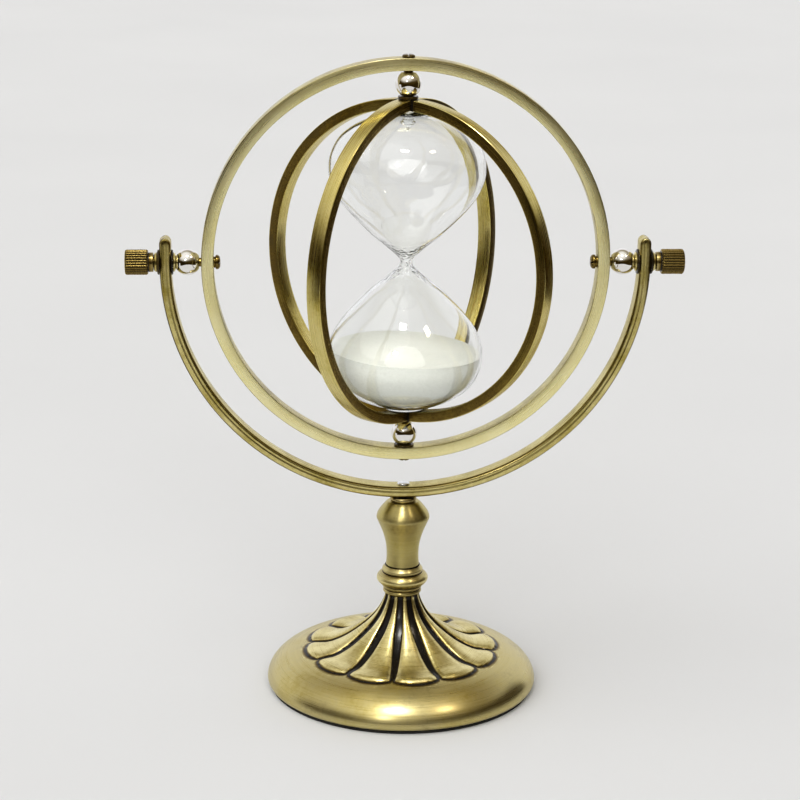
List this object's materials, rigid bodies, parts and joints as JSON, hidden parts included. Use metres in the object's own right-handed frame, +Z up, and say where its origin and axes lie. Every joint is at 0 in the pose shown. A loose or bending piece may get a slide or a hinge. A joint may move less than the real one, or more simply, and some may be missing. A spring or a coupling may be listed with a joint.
{
  "type": "gimbal hourglass",
  "caption": "Sand glass in a cage of crossed rings that spins in an outer ring, which tumbles in a half-round arc on a turned stem and a fluted round foot.",
  "frame": {"origin": "middle of the underside of the foam pad under the foot", "axes": "+Z up the stem; X along the pivots of the outer ring, through both thumb nuts; +Y away from the viewer who faces the arc"},
  "size_m": [0.2506, 0.1254, 0.295],
  "materials": {
    "antique_brass": "brushed antique plating over cast zinc and steel, dark in the grooves, clear lacquer",
    "dark_brass": "darkened antique plating",
    "polished_nickel": "mirror polished",
    "zinc_plate": "bright zinc plate",
    "foam_pad": "matt black foam",
    "clear_glass": "clear blown glass",
    "clear_plastic": "clear soft plastic",
    "white_sand": "fine white sand, matt"
  },
  "bodies": {
    "stand": {"base_pad": "foam_pad", "base_foot": "antique_brass", "stem_bolt": "zinc_plate", "bolt_washer": "zinc_plate", "stem_collar": "antique_brass", "stem": "antique_brass", "stem_neck_ring": "dark_brass", "meridian_arc": "antique_brass", "arc_screw": "zinc_plate", "right_pivot_screw": "dark_brass", "right_ball": "polished_nickel", "right_inner_washer": "antique_brass", "right_outer_washer": "antique_brass", "left_pivot_screw": "dark_brass", "left_ball": "polished_nickel", "left_inner_washer": "antique_brass", "left_outer_washer": "antique_brass"},
    "right_thumb_nut": {"right_thumb_nut": "dark_brass"},
    "left_thumb_nut": {"left_thumb_nut": "dark_brass"},
    "outer_ring": {"outer_ring": "antique_brass", "bottom_pole_washer": "dark_brass"},
    "cage": {"cage_ring": "antique_brass", "cage_half_ring_right": "antique_brass", "cage_half_ring_left": "antique_brass", "top_pivot_screw": "dark_brass", "top_ball": "polished_nickel", "top_pole_washer": "dark_brass", "bottom_pivot_screw": "dark_brass", "bottom_ball": "polished_nickel", "glass_bulbs": "clear_glass", "fill_plug": "clear_plastic", "bottom_glass_pad": "clear_plastic", "sand": "white_sand"}
  },
  "joints": [
    {"name": "ring_tumble", "type": "hinge", "parent": "stand", "child": "outer_ring", "pos_m": [0, 0, 0.2022], "axis": [1, 0, 0], "continuous": true},
    {"name": "cage_spin", "type": "hinge", "parent": "outer_ring", "child": "cage", "pos_m": [0, 0, 0.2022], "axis": [0, 0, 1], "continuous": true},
    {"name": "right_nut_turn", "type": "hinge", "parent": "stand", "child": "right_thumb_nut", "pos_m": [0.119, 0, 0.2022], "axis": [1, 0, 0], "range_deg": [0, 270]},
    {"name": "left_nut_turn", "type": "hinge", "parent": "stand", "child": "left_thumb_nut", "pos_m": [-0.119, 0, 0.2022], "axis": [-1, 0, 0], "range_deg": [0, 270]}
  ]
}
